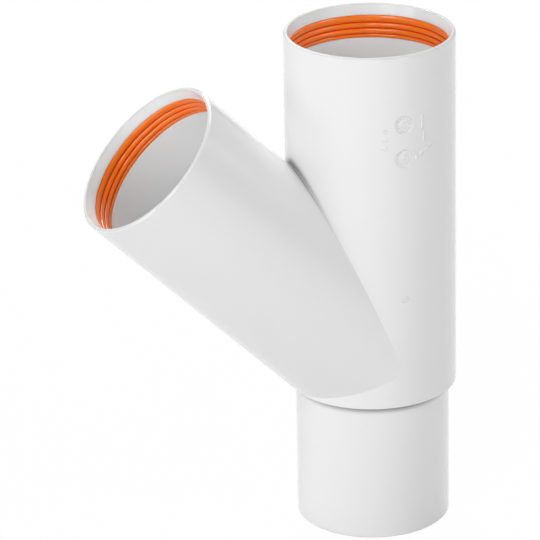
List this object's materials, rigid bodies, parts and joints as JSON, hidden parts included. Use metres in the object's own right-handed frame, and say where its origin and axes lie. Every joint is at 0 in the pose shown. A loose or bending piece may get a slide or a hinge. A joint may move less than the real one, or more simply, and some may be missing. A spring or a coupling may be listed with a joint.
{
  "type": "lateral wye fitting",
  "caption": "Lateral wye pipe fitting: a straight run from spigot to push-fit socket, an equal branch leaning off its side to a socket of its own, and a ribbed seal in each.",
  "frame": {"origin": "on the run's axis at the shoulder above the spigot, where the mouth of a mating socket comes to", "axes": "+Z along the run towards its socket, -X the side that the branch leans to, +Y square to both axes"},
  "size_m": [0.1228, 0.0548, 0.1665],
  "materials": {
    "white_plastic": "semi-gloss moulded",
    "orange_rubber": "satin"
  },
  "bodies": {
    "root": {"wye_body": "white_plastic", "main_socket_seal": "orange_rubber", "branch_socket_seal": "orange_rubber"}
  },
  "joints": []
}
